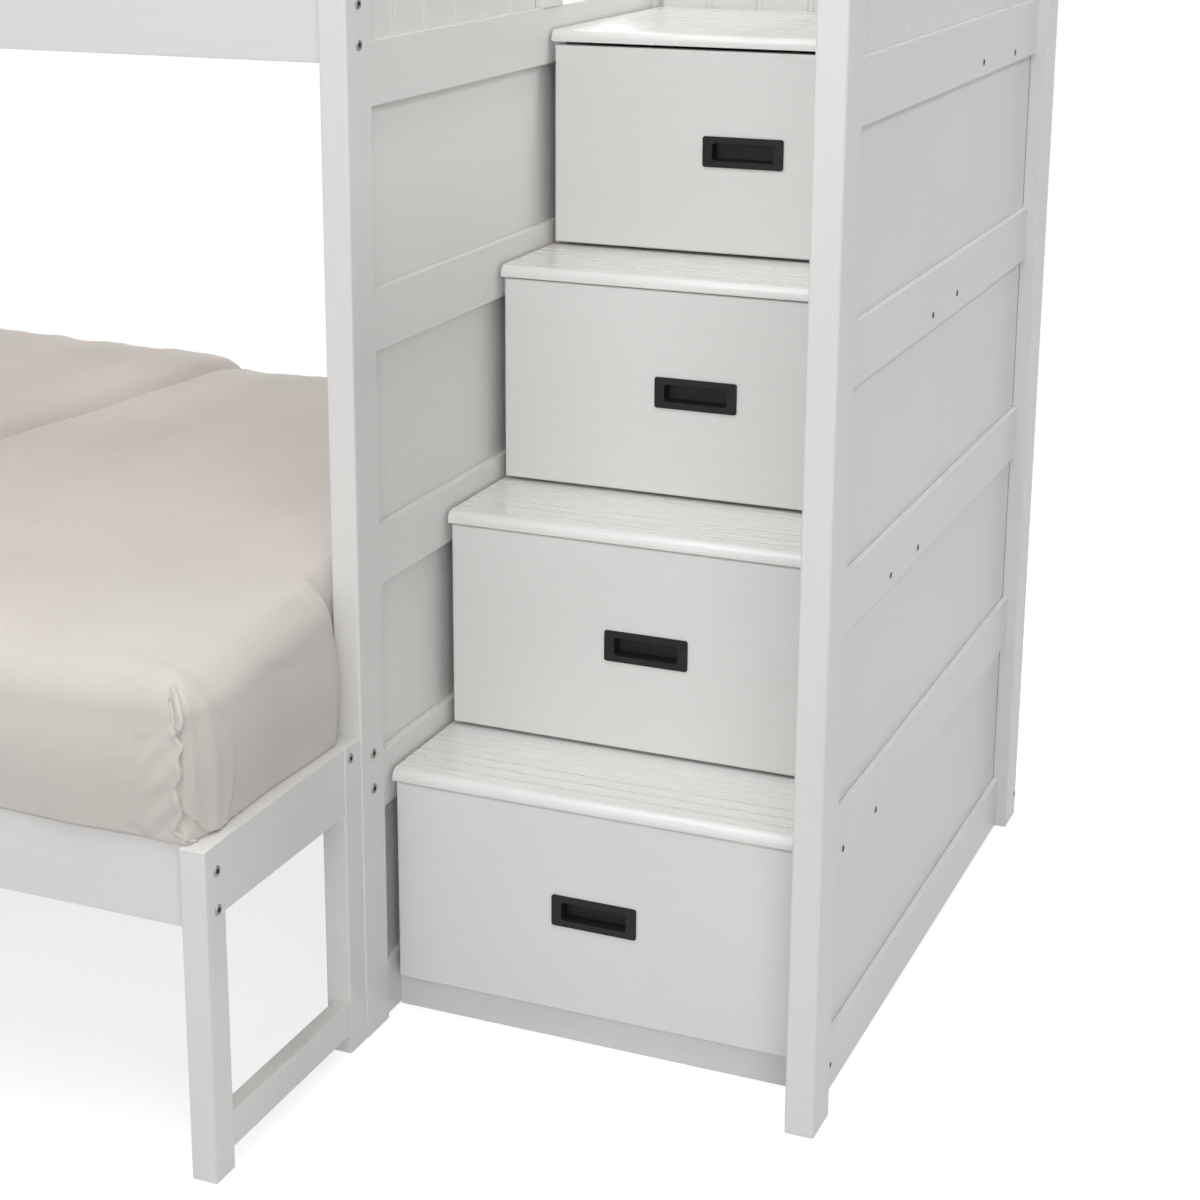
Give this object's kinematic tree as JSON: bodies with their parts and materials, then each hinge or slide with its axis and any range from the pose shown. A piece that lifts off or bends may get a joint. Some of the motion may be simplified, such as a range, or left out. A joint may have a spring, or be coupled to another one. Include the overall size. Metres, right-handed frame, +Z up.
{
  "type": "bunk bed with storage stairs",
  "caption": "Twin-over-full bunk bed in painted wood, with a drawer stair at one end, beaded end panels, slatted bases and a made-up lower bed.",
  "frame": {"origin": "bottom centre of the whole bed, on the floor", "axes": "+X along the bed towards the stairs, +Y to the back, +Z up"},
  "size_m": [2.609, 1.469, 1.665],
  "materials": {
    "white_paint": "white satin paint on wood",
    "drawer_board": "white-washed board",
    "bare_board": "bare planed pine and plywood",
    "black_metal": "matte black powder coat",
    "steel": "zinc-plated, socket head",
    "mattress_ticking": "plain off-white knit",
    "quilt_cloth": "smooth taupe cotton"
  },
  "bodies": {
    "bed": {"dividing_beadboard": "white_paint", "dividing_entry_post": "white_paint", "dividing_front_post": "white_paint", "dividing_panels": "white_paint", "dividing_rails": "white_paint", "dividing_rear_post": "white_paint", "drawer_guides": "white_paint", "frame_bolts": "steel", "guard_rails": "white_paint", "guard_slats": "white_paint", "head_beadboards": "white_paint", "head_front_post": "white_paint", "head_rails": "white_paint", "head_rear_post": "white_paint", "landing_top_rail": "white_paint", "lower_foot_rails": "white_paint", "lower_front_rail": "white_paint", "lower_head_rails": "white_paint", "lower_ledges": "white_paint", "lower_legs": "white_paint", "lower_mattress": "mattress_ticking", "lower_middle_rail": "white_paint", "lower_rear_rail": "white_paint", "lower_short_posts": "white_paint", "lower_slats": "bare_board", "outer_beadboard": "white_paint", "outer_front_post": "white_paint", "outer_panels": "white_paint", "outer_rails": "white_paint", "outer_rear_post": "white_paint", "plinth": "white_paint", "quilt": "quilt_cloth", "stair_back_battens": "white_paint", "stair_back_board": "white_paint", "tread_1": "white_paint", "tread_2": "white_paint", "tread_3": "white_paint", "tread_4": "white_paint", "tread_cleats": "white_paint", "upper_front_rail": "white_paint", "upper_ledges": "white_paint", "upper_rear_rail": "white_paint", "upper_slats": "bare_board"},
    "drawer_1": {"drawer_1_front": "white_paint", "drawer_1_box": "drawer_board", "drawer_1_bottom": "bare_board", "drawer_1_pull": "black_metal"},
    "drawer_2": {"drawer_2_front": "white_paint", "drawer_2_box": "drawer_board", "drawer_2_bottom": "bare_board", "drawer_2_pull": "black_metal"},
    "drawer_3": {"drawer_3_front": "white_paint", "drawer_3_box": "drawer_board", "drawer_3_bottom": "bare_board", "drawer_3_pull": "black_metal"},
    "drawer_4": {"drawer_4_front": "white_paint", "drawer_4_box": "drawer_board", "drawer_4_bottom": "bare_board", "drawer_4_pull": "black_metal"}
  },
  "joints": [
    {"name": "drawer_1_slide", "type": "slide", "parent": "bed", "child": "drawer_1", "axis": [0, -1, 0], "range_m": [0, 0.28]},
    {"name": "drawer_2_slide", "type": "slide", "parent": "bed", "child": "drawer_2", "axis": [0, -1, 0], "range_m": [0, 0.28]},
    {"name": "drawer_3_slide", "type": "slide", "parent": "bed", "child": "drawer_3", "axis": [0, -1, 0], "range_m": [0, 0.28]},
    {"name": "drawer_4_slide", "type": "slide", "parent": "bed", "child": "drawer_4", "axis": [0, -1, 0], "range_m": [0, 0.28]}
  ]
}
